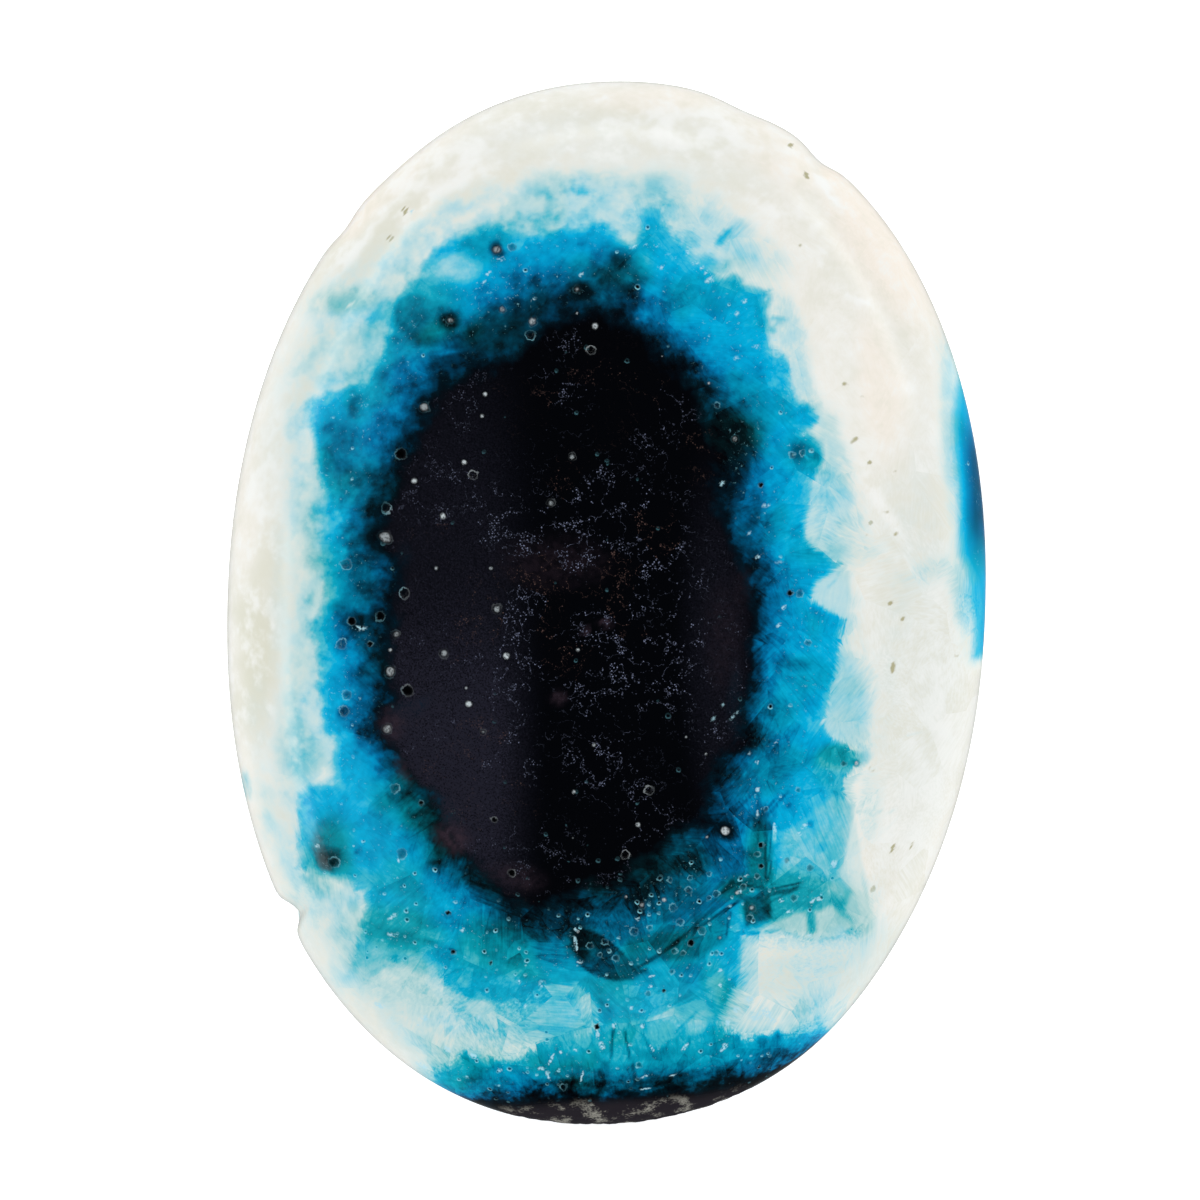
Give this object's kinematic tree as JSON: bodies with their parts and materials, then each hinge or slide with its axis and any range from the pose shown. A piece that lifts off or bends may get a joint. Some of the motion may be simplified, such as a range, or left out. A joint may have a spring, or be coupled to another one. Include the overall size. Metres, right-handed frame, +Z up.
{
  "type": "nakauriite cabochon",
  "caption": "Oval polished stone with a low dome and a flat back: cream white, with a blue ring round a black core. Rests on its back or is set in a bezel.",
  "frame": {"origin": "on the flat back, under the middle of the outline's bounding box", "axes": "+Y along the oval's long axis, +Z up through the dome, +X across the oval"},
  "size_m": [0.0218, 0.03, 0.007],
  "materials": {
    "polished_rock": "polished: cream white rim, blue halo and black core with small open pits"
  },
  "bodies": {
    "root": {"stone": "polished_rock"}
  },
  "joints": []
}
